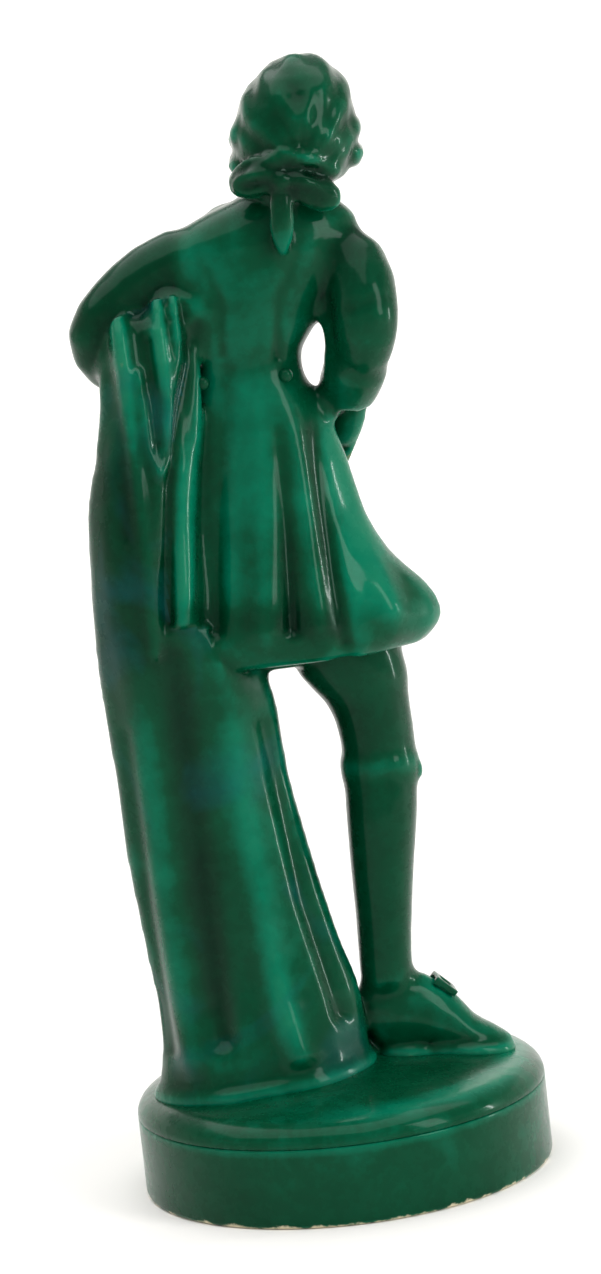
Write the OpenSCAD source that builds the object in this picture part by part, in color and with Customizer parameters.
// Figural powder jar: a low round bowl, and a lid that carries the figure of an
// eighteenth-century gentleman, seen best from behind. Glazed earthenware.
// Millimetres, +Z up. The origin is the centre of the face that it stands on,
// the figure faces -Y, and +X is the figure's left.

/* [Bowl] */
// Outside diameter of the round plinth, which is bowl and lid together
plinth_d = 88; // [72:1:110]
// Height of the bowl, up to the seam
bowl_h = 17; // [13:0.5:26]
// Thickness of the bowl's side wall
bowl_wall = 5; // [3.5:0.25:7]
// Thickness of the bowl's floor above the foot recess
floor_t = 3.5; // [2.5:0.25:5]
// Width of the unglazed foot ring
foot_ring_w = 5; // [3:0.5:8]
// Depth of the recess inside the foot ring
foot_recess = 1.2; // [0.6:0.1:2.5]

/* [Lid] */
// Height of the lid's rounded shoulder above the seam
shoulder_h = 5; // [3.5:0.25:8]
// How far the shoulder comes in from the plinth's edge
shoulder_w = 6.5; // [4:0.25:9]
// Rise of the domed ground that the figure stands on
dome_h = 3; // [1.5:0.25:5]
// Depth of the rim under the lid that drops into the bowl
spigot_h = 3.5; // [2:0.25:5]
// Width of that rim
spigot_w = 3.5; // [2.5:0.25:5]
// Clearance between the rim and the bowl, all round
spigot_gap = 0.5; // [0.3:0.05:1]
// Diameter of the vent that the hollow casting is poured out through
vent_d = 10; // [6:0.5:14]

/* [Figure] */
// Height of the figure above the domed ground
figure_h = 213; // [170:1:256]
// Wall of the hollow castings
casting_wall = 4; // [3:0.25:5]
// Slip between the figure's feet and the lid
slip = 0.1; // [0.05:0.05:0.3]
// Flare of the coat's skirts at the hem, from the waist
skirt_flare = 20; // [16:0.5:24]
// Width of the cloak at hip height
cloak_w = 35.5; // [30:0.5:42]
// Width of the knee band
knee_band_w = 16.4; // [15:0.2:19]
// Diameter of the coat and waistcoat buttons
button_d = 2.6; // [1.8:0.1:3.4]
// Number of waistcoat buttons
button_count = 6; // [3:1:8]

/* [Hidden] */
$fn = 96;

green = "#0b5a41";
drawn_h = 213;                  // the figure's lists below are drawn at this height
size = figure_h / drawn_h;      // and scaled to the height asked for
plinth_r = plinth_d / 2;
bowl_r = plinth_r - bowl_wall;  // inside radius of the bowl
seam_z = bowl_h;
rim_z = seam_z + shoulder_h;    // edge of the domed ground
ground_z = rim_z + dome_h;      // its middle
dome_r = plinth_r - shoulder_w;
spigot_r = bowl_r - spigot_gap;
foot_z = -(dome_h + 2) / size;  // what stands on the ground starts this low, before it is cut
flare = skirt_flare - 20;       // added to the hem's half width
sides = 24;                     // round each large form
fine = 14;                      // round each small form

// ---- shapes -------------------------------------------------------------------

// A smooth curve through the rows of a list, whatever the rows hold
function mix(a, b, c, d, t) = 0.5 * (2 * b + (c - a) * t + (2 * a - 5 * b + 4 * c - d) * t * t
    + (3 * b - a - 3 * c + d) * t * t * t);
function smooth(rows) = let (n = len(rows) - 1) [
    for (i = [0 : n - 1], t = [0, 0.5])
        mix(rows[max(i - 1, 0)], rows[i], rows[i + 1], rows[min(i + 2, n)], t),
    rows[n]];

// Faces of a skin over n rings of m points, with a middle point for each end
function skin_faces(n, m) = concat(
    [for (i = [0 : n - 2], j = [0 : m - 1])
        let (k = (j + 1) % m) [i * m + j, (i + 1) * m + k, i * m + k]],
    [for (i = [0 : n - 2], j = [0 : m - 1])
        let (k = (j + 1) % m) [i * m + j, (i + 1) * m + j, (i + 1) * m + k]],
    [for (j = [0 : m - 1]) [n * m, j, (j + 1) % m]],
    [for (j = [0 : m - 1]) [n * m + 1, (n - 1) * m + (j + 1) % m, (n - 1) * m + j]]);

function middle(ring) = [for (a = [0 : 2]) let (v = [for (p = ring) p[a]]) (min(v) + max(v)) / 2];

module skin(rings) {
    n = len(rings);
    m = len(rings[0]);
    points = concat([for (r = rings) each r], [middle(rings[0]), middle(rings[n - 1])]);
    polyhedron(points, skin_faces(n, m), convexity = 6);
}

// A form built of level rings: each row is x, y, z, half width, half depth
function level_ring(row, fold, m) = [for (i = [0 : m - 1])
    let (a = 360 * i / m, f = 1 + fold * cos(a * 6))
    [row[0] + row[3] * f * cos(a), row[1] + row[4] * f * sin(a), row[2]]];
module loft(rows, fold = 0, m = sides) {
    skin([for (row = smooth(rows)) level_ring(row, fold, m)]);
}

// A form swept along a line: each row is x, y, z, half width across "side", half width
function unit(v) = v / norm(v);
function along(rows, i) =
    unit([for (a = [0 : 2]) rows[min(i + 1, len(rows) - 1)][a] - rows[max(i - 1, 0)][a]]);
function swept_ring(row, dir, side, m) = let (u = unit(cross(side, dir)), v = cross(dir, u))
    [for (i = [0 : m - 1]) let (a = 360 * i / m)
        [row[0], row[1], row[2]] + row[3] * cos(a) * u + row[4] * sin(a) * v];
module sweep(rows, side = [0, 1, 0], m = fine) {
    line = smooth(rows);
    skin([for (i = [0 : len(line) - 1]) swept_ring(line[i], along(line, i), side, m)]);
}

function thinner(rows, wall) = [for (r = rows) [r[0], r[1], r[2], r[3] - wall, r[4] - wall]];

// A node of the figure, above the domed ground and at the figure's size, meshed as one
// form: zeros in resize() keep the size as it is
module figure_part(colour = green) {
    color(colour) resize([0, 0, 0]) translate([0, 0, ground_z]) scale(size) union() children();
}

// A node that stands on the domed ground, and is cut to it
module standing_part() {
    color(green) resize([0, 0, 0]) difference() {
        translate([0, 0, ground_z]) scale(size) union() children();
        translate([0, 0, slip]) lid_form($fn = 48);
    }
}

// ---- bowl and lid ---------------------------------------------------------------

module powder_bowl() {
    color(green) rotate_extrude() polygon([
        [0, foot_recess], [plinth_r - foot_ring_w, foot_recess], [plinth_r - foot_ring_w, 0],
        [plinth_r - 0.8, 0], [plinth_r, 0.8], [plinth_r, seam_z - 0.3], [plinth_r - 0.3, seam_z],
        [bowl_r, seam_z], [bowl_r, foot_recess + floor_t + 2],
        [bowl_r - 2, foot_recess + floor_t], [0, foot_recess + floor_t]]);
}

// The shoulder is a quarter of an ellipse, and the ground a shallow dome
module lid_form() {
    rotate_extrude() polygon(concat(
        [[0, seam_z], [plinth_r - 0.3, seam_z], [plinth_r, seam_z + 0.3]],
        [for (a = [15 : 15 : 90])
            [dome_r + shoulder_w * cos(a), seam_z + 0.3 + (shoulder_h - 0.3) * sin(a)]],
        [for (k = [5 : -1 : 0]) let (r = dome_r * k / 6) [r, rim_z + dome_h * (1 - pow(r / dome_r, 2))]]));
}

module lid_plinth() {
    color(green) difference() {
        union() {
            lid_form();
            translate([0, 0, seam_z - spigot_h]) cylinder(h = spigot_h + 1, r = spigot_r);
        }
        translate([0, 0, seam_z - spigot_h - 1]) cylinder(h = spigot_h + 1, r = spigot_r - spigot_w);
        translate([vent_at[0] * size, vent_at[1] * size, seam_z - 1])
            cylinder(h = shoulder_h + dome_h + 2, d = vent_d);
    }
}

// ---- coat -----------------------------------------------------------------------

waist_z = 148;
vent_at = [17, 7];
torso_rows = [[2.5, 1, 148, 11.2, 9.8], [2.4, 1, 152, 11.6, 9.8], [1.4, 1, 158, 15, 11.4],
    [0, 1, 166, 18.6, 12], [-2, 1, 173, 21, 12], [-4, 1, 178, 20, 10.8],
    [-6.2, 1, 182, 14.4, 9], [-7.8, 1, 184.5, 9, 7.5]];
skirt_rows = [[1, 3, 88, 28 + flare, 15], [0, 3, 92, 31.3 + flare, 17], [-0.3, 3, 97, 31 + flare, 17],
    [0, 3, 102, 28 + flare * 0.9, 16.5], [1, 2.5, 108, 23.5 + flare * 0.7, 15.5],
    [2, 2, 117, 20 + flare * 0.4, 14], [2.2, 1.5, 129, 17.8 + flare * 0.2, 12.5],
    [2.3, 1, 140, 14.6, 11], [2.5, 1, 148, 11.2, 9.8]];
back_seam_x = [-10.5, 21];      // where the back panel meets the side panels
front_edge_x = [-3, 8];         // where the coat stands open over the waistcoat
front_y = -3;

module block(x0, x1, y0, y1, z0, z1) { translate([x0, y0, z0]) cube([x1 - x0, y1 - y0, z1 - z0]); }
module open_front() { block(front_edge_x[0], front_edge_x[1], -60, front_y, 60, 186); }

module torso_form() { loft(torso_rows); }
module coat_body_form() {
    difference() {
        torso_form();
        open_front();
        translate([0, 0, -1]) loft(thinner(torso_rows, casting_wall * 1.3));
    }
}
module skirt_outline() { loft(skirt_rows, 0.03); }
module skirt_form() {
    difference() {
        skirt_outline();
        translate([0, 0, -1]) loft(thinner(skirt_rows, casting_wall));
        block(-60, 60, -60, 60, waist_z, waist_z + 20);
        open_front();
    }
}
module coat_body() {
    figure_part() difference() {
        coat_body_form();
        head_form();
    }
}
module coat_skirt_back() {
    figure_part() intersection() { skirt_form(); block(back_seam_x[0], back_seam_x[1], 2, 60, 0, 200); }
}
module coat_skirt_right() {
    figure_part() difference() {
        skirt_form();
        block(back_seam_x[0], 60, 2, 60, 0, 200);
        block(front_edge_x[0], 60, -60, 2, 0, 200);
        right_hand_form();
    }
}
module coat_skirt_left() {
    figure_part() difference() {
        skirt_form();
        block(-60, back_seam_x[1], 2, 60, 0, 200);
        block(-60, front_edge_x[1], -60, 2, 0, 200);
    }
}
collar_rows = [[-8, 0.3, 179, 11.2, 10.4], [-8.6, 0.3, 182, 10.6, 10], [-9.2, 0.4, 185, 10, 9.6]];
module collar_form() { loft(collar_rows); }
module collar_inside() { translate([0, 0, -0.01]) scale([1, 1, 1.001]) loft(thinner(collar_rows, 2)); }
module coat_collar() {
    figure_part() difference() {
        collar_form();
        collar_inside();
        torso_form();
        open_front();
        head_form();
        jabot_form();
    }
}
module waistcoat_form() {
    intersection() {
        union() {
            loft(thinner(torso_rows, 1.2));
            loft(thinner(skirt_rows, 2));
        }
        block(front_edge_x[0], front_edge_x[1], -60, front_y, 103, 178);
    }
}
module waistcoat() {
    figure_part() difference() {
        waistcoat_form();
        loft(thinner(torso_rows, casting_wall * 1.3));
        translate([0, 0, -1]) loft(thinner(skirt_rows, casting_wall + 1.5));
        neck_form();
        breeches_form();
        cravat_form();
        jabot_form();
    }
}

// ---- neck, head and wig -----------------------------------------------------------

module neck_form() {
    loft([[-8, -0.5, 176, 6.2, 6.6], [-9, -0.5, 181, 5.8, 6.2], [-10, -1.2, 187, 5.6, 6.4]]);
}
module head_form() {
    neck_form();
    loft([[-11, -5, 183.5, 3.5, 4.5], [-11.5, -4, 186, 7, 8.5], [-12.3, -2.5, 191, 9.2, 11.5],
        [-13, -1.5, 197, 10.2, 12.6], [-13.6, -0.8, 203, 9.8, 12], [-14.2, 0, 208, 7, 9],
        [-14.5, 0.3, 211, 2.5, 3.5]]);
}
module wig_form() {
    difference() {
        loft([[-10, 5, 184, 7, 6], [-11.3, 4, 187, 10.5, 9.5], [-12.2, 2.8, 191, 12.3, 12],
            [-12.8, 1.6, 197, 13, 13.5], [-13.5, 0.6, 203, 12, 13.2], [-14.3, 0.2, 208.5, 9, 10.3],
            [-14.8, 0, 212, 4.5, 5.5], [-14.9, 0, 213, 2, 2.5]]);
        block(-22, -4, -40, -5.5, 170, 202.5);
    }
}
module head() {
    figure_part() difference() {
        head_form();
        wig_form();
    }
}
module wig() {
    figure_part() difference() {
        wig_form();
        neck_form();
        collar_form();
    }
}
module side_curls() {
    figure_part() difference() {
        for (x = [-23.8, -1.6], z = [197, 191.6])
            sweep([[x, -7.5, z, 1.6, 1.6], [x, -4.5, z, 2.8, 2.8],
                [x, 3.5, z, 2.8, 2.8], [x, 6, z, 1.4, 1.4]],
                [0, 0, 1], 12);
        wig_form();
        head_form();
    }
}
module bow_form() {
    for (s = [[-1.2, 190.3, 1], [-17.5, 185.8, -1]])
        sweep([[-8.6, 14.5, 188, 1.6, 1.2], [-8.6 + 3 * s[2], 14.5, 188, 2.6, 1.6],
            [(s[0] - 8.6) / 2, 13.5, (s[1] + 187) / 2, 3.6, 2.2], [s[0], 12, s[1] - 2, 3.6, 2.4],
            [s[0] + 2.6 * s[2], 10.5, s[1] - 2.8, 2, 1.6]], [0, 1, 0]);
    translate([-8.6, 14.8, 188]) sphere(r = 2.3, $fn = 12);
}
module hair_bow() {
    figure_part() difference() {
        bow_form();
        wig_form();
        collar_form();
        torso_form();
    }
}
module queue() {
    figure_part() difference() {
        sweep([[-8.6, 14, 187.5, 1.4, 1.2], [-8.4, 14.5, 185, 2.3, 1.8], [-8, 14.5, 180, 2.6, 2],
            [-7.6, 14, 176, 2.2, 1.8], [-7.4, 13, 173, 0.8, 0.8]], [0, 1, 0]);
        bow_form();
        wig_form();
        collar_form();
        torso_form();
    }
}
module cravat_form() {
    translate([0, 0, -0.6]) loft(concat(thinner(collar_rows, 2.1), [[-9.8, -0.6, 188, 7, 7.4]]));
}
module cravat() {
    figure_part() difference() {
        cravat_form();
        head_form();
        torso_form();
        wig_form();
        block(-40, -7.6, -60, 60, 170, 200);
    }
}
module jabot_form() {
    sweep([[-7.5, -8.8, 182, 2, 1.4], [-6.6, -10, 178.5, 3.2, 2], [-5.2, -11.2, 172, 4.2, 2.2],
        [-2.5, -11.6, 166, 3.4, 1.6]], [0, 1, 0]);
}
module jabot() {
    figure_part() difference() {
        jabot_form();
        cravat_form();
        torso_form();
    }
}

// ---- arms ------------------------------------------------------------------------

right_arm_rows = [[-15.8, 0.3, 172.4, 7.2, 7.4], [-21.8, 4, 168, 7.5, 7.6], [-23.3, 9, 161, 6.9, 7],
    [-22.8, 10, 155, 6.6, 6.6], [-21, 5.5, 149, 6, 6], [-18.6, 1, 144, 5.6, 5.6]];
left_arm_rows = [[12, 0, 173.5, 7.2, 7.4], [20, 2, 170.5, 7.4, 7.2], [27.8, 4, 165.6, 6.8, 6.8],
    [33, 5, 159.8, 6.2, 6.2], [31, 1, 153.5, 5.8, 5.8], [26, -4, 150.5, 5.4, 5.4]];

module right_sleeve() {
    figure_part() difference() {
        sweep(right_arm_rows, m = 20);
        torso_form();
        right_cuff_form();
    }
}
module right_cuff_form() {
    sweep([[-21.1, 6, 149.6, 6.6, 6.8], [-19.3, 2.4, 145.6, 6.8, 7], [-17.6, -0.8, 142, 6.4, 6.6]]);
}
module right_cuff() {
    figure_part() difference() {
        right_cuff_form();
        right_hand_form();
        torso_form();
        skirt_outline();
    }
}
module right_hand_form() {
    sweep([[-19.4, 1, 144.5, 3.4, 3], [-18.2, -2, 141, 4.2, 2.8], [-16.8, -4.5, 137, 4.6, 2.6],
        [-15.6, -6.5, 133, 4, 2.2], [-14.8, -7.6, 130.5, 2.4, 1.4]]);
}
module right_hand() { figure_part() right_hand_form(); }
module left_sleeve() {
    figure_part() difference() {
        sweep(left_arm_rows, m = sides);
        torso_form();
        left_cuff_form();
    }
}
module left_cuff_form() {
    sweep([[28.4, -1.8, 151.8, 6.4, 6.4], [25.4, -4.6, 150.3, 6.6, 6.6], [22.2, -7.4, 149, 6.2, 6.2]]);
}
module left_cuff() {
    figure_part() difference() {
        left_cuff_form();
        left_hand_form();
        torso_form();
        skirt_outline();
    }
}
module left_hand_form() {
    sweep([[23.6, -6.2, 149.6, 3, 3], [20.4, -8.8, 148.4, 3.8, 2.8], [17, -10.6, 146.4, 4, 2.6],
        [13.8, -11.8, 144.2, 3.2, 2], [11.6, -12.2, 142.8, 1.8, 1.2]]);
}
module left_hand() {
    figure_part() difference() {
        left_hand_form();
        torso_form();
        skirt_outline();
    }
}

// ---- legs ------------------------------------------------------------------------

knee_r = knee_band_w / 2;
module breeches_form() {
    loft([[2, 1, 86, 8, 7], [1, 1, 91, 16, 9.6], [1.5, 1, 100, 17, 10], [2, 1, 112, 13, 8.5], [2, 1, 120, 9, 6]]);
    loft([[-16.2, 0, 63, knee_r - 0.4, 7.9], [-15.9, 0, 71, 8.1, 8.3], [-14.8, 0, 77, 9, 9],
        [-12.6, 0, 83, 11.4, 10], [-10, 0, 92, 11.5, 10], [-7, 0, 100, 8, 8]]);
    loft([[12.2, -8, 63, knee_r - 0.4, 7.9], [13.4, -7, 74, 8.2, 9], [14, -4, 84, 8.8, 10],
        [11.5, -1, 94, 10, 10], [8, 0, 102, 8, 8]]);
}
module breeches() {
    figure_part() difference() {
        breeches_form();
        skirt_form();
        right_band_form();
        left_band_form();
        cloak_form();
    }
}
module band_form(x, y, out) {
    loft([[x, y, 58.5, knee_r - 0.1, 8.4], [x, y, 60.5, knee_r + 0.25, 8.7], [x, y, 63.5, knee_r + 0.25, 8.6],
        [x, y, 65, knee_r - 0.2, 8.2]]);
    translate([x + out * (knee_r - 0.2), y + 1, 60.5]) scale([1, 1.6, 2]) sphere(r = 1.1, $fn = 12);
}
module right_band_form() { band_form(-16, 0, -1); }
module left_band_form() { band_form(12.3, -8, 1); }
module right_knee_band() { figure_part() right_band_form(); }
module left_knee_band() { figure_part() left_band_form(); }
module right_leg_form() {
    loft([[-12.5, 0, 14, 5.8, 6], [-12.7, 0, 21, 5.8, 5.9], [-13.3, 0.5, 29, 6.1, 6.4],
        [-14.2, 1.2, 41, 6.9, 7.6], [-15.2, 1.5, 51, 7.6, 8.4], [-15.9, 0.5, 60, 7.9, 8.3]]);
}
module left_leg_form() {
    loft([[12, -10, 14, 5.8, 6], [12, -9.7, 21, 5.8, 5.9], [12, -8.7, 33, 6.4, 6.8],
        [12.3, -7.5, 47, 7.5, 8.4], [12.3, -7.8, 60, 7.9, 8.3]]);
}
module right_stocking() {
    figure_part() difference() {
        right_leg_form();
        right_band_form();
        right_shoe_form();
    }
}
module left_stocking() {
    figure_part() difference() {
        left_leg_form();
        left_band_form();
        left_shoe_form();
    }
}
// A shoe points along +X from its heel, and turns about the heel
module shoe_form() {
    difference() {
        sweep([[-0.6, 0, 5, 3, 5], [1.5, 0, 6, 5, 8.2], [6, 0, 7.5, 6.2, 10.5], [11, 0, 6.5, 6.2, 9.4],
            [16.5, 0, 4, 6.2, 7.2], [21.5, 0, 1.2, 6.2, 4.6], [26.5, 0, -0.6, 5.2, 3.2], [30.5, 0, -1.8, 2.6, 1.6]],
            [0, 0, 1]);
        block(9.5, 14.5, -20, 20, -12, 1.6);
        block(-5, 35, -20, 20, -20, foot_z);
    }
}
module right_shoe_form() { translate([-7, 0, 0]) rotate([0, 0, 185]) shoe_form(); }
module left_shoe_form() { translate([11.2, -5, 0]) rotate([0, 0, -82]) shoe_form(); }
module right_shoe() { standing_part() right_shoe_form(); }
module left_shoe() { standing_part() left_shoe_form(); }
module buckle() {
    translate([17, 0, 11.9]) rotate([0, 44, 0]) difference() {
        cube([5.6, 6.8, 2.4], center = true);
        cube([2.8, 4, 5], center = true);
    }
}
module shoe_buckles() {
    figure_part("#3d7a5f") difference() {
        union() {
            translate([-7, 0, 0]) rotate([0, 0, 185]) buckle();
            translate([11.2, -5, 0]) rotate([0, 0, -82]) buckle();
        }
        right_shoe_form();
        left_shoe_form();
    }
}

// ---- cloak -------------------------------------------------------------------------

cloak_mid = 40.2 - cloak_w / 2; // its outer edge stays where it is
cloak_rows = [[15.6, 6, foot_z, 22.8, 16], [15.4, 6, 0, 22.3, 15.5], [15, 6, 8, 21.3, 14],
    [15.2, 6, 17, 21, 12.5], [17, 6, 26, 20.2, 11.5], [18.8, 6, 38, 19.4, 11], [20.4, 6, 50, 18.8, 10.5],
    [cloak_mid - 0.8, 6.4, 65, cloak_w / 2, 10], [cloak_mid, 7, 80, cloak_w / 2, 10],
    [24, 9, 90, 16.4, 10.5], [26.6, 10, 100, 13.7, 10.5], [28, 10.5, 113, 11.6, 10],
    [27.4, 10.5, 125, 11.2, 9.5], [25.2, 10, 136, 10.4, 8.5], [23.7, 9.5, 145, 10, 8],
    [22.6, 9.5, 155, 10.2, 7.2], [21.4, 9, 161, 9.8, 6], [20.6, 8.5, 164, 6.8, 4]];
module cloak_form() {
    difference() {
        loft(cloak_rows, 0.03);
        block(-20, 70, -50, 50, 134, 200);
        skirt_outline();
        left_band_form();
        left_leg_form();
        left_shoe_form();
        right_shoe_form();
    }
}
module cloak_cavity() {
    loft([[16, 6.5, foot_z - 1, 15, 8], [17, 6.5, 8, 14, 7.5], [19, 7, 26, 13, 6.5], [21.5, 8, 50, 12, 5.5],
        [24, 9, 66, 10.5, 5], [26, 10, 76, 6, 3]]);
}
module cloak() {
    standing_part() difference() {
        cloak_form();
        cloak_cavity();
    }
}
module cloak_gather() {
    figure_part() difference() {
        loft(cloak_rows, 0.05);
        block(-20, 70, -50, 50, -20, 134);
        skirt_outline();
        torso_form();
        sweep(left_arm_rows, m = sides);
        left_cuff_form();
        left_hand_form();
    }
}

// ---- buttons -----------------------------------------------------------------------

module waistcoat_buttons() {
    figure_part("#3d7a5f") difference() {
        for (i = [0 : button_count - 1]) let (z = 160 - i * 48 / button_count)
            translate([2.5, -8 - (z < 140 ? (140 - z) * 0.14 : 0) - (z > 152 ? (z - 152) * 0.2 : 0), z])
                scale([1, 1.4, 1]) sphere(d = button_d, $fn = 8);
        waistcoat_form();
        jabot_form();
    }
}
module coat_buttons() {
    figure_part("#3d7a5f") difference() {
        for (x = [-6.5, 11]) translate([x, 10.2, 148]) sphere(d = button_d * 1.2, $fn = 12);
        torso_form();
        skirt_outline();
    }
}

powder_bowl();
lid_plinth();
cloak();
cloak_gather();
coat_body();
coat_skirt_back();
coat_skirt_right();
coat_skirt_left();
coat_collar();
waistcoat();
cravat();
jabot();
head();
wig();
side_curls();
hair_bow();
queue();
right_sleeve();
right_cuff();
right_hand();
left_sleeve();
left_cuff();
left_hand();
breeches();
right_stocking();
left_stocking();
right_knee_band();
left_knee_band();
right_shoe();
left_shoe();
shoe_buckles();
waistcoat_buttons();
coat_buttons();
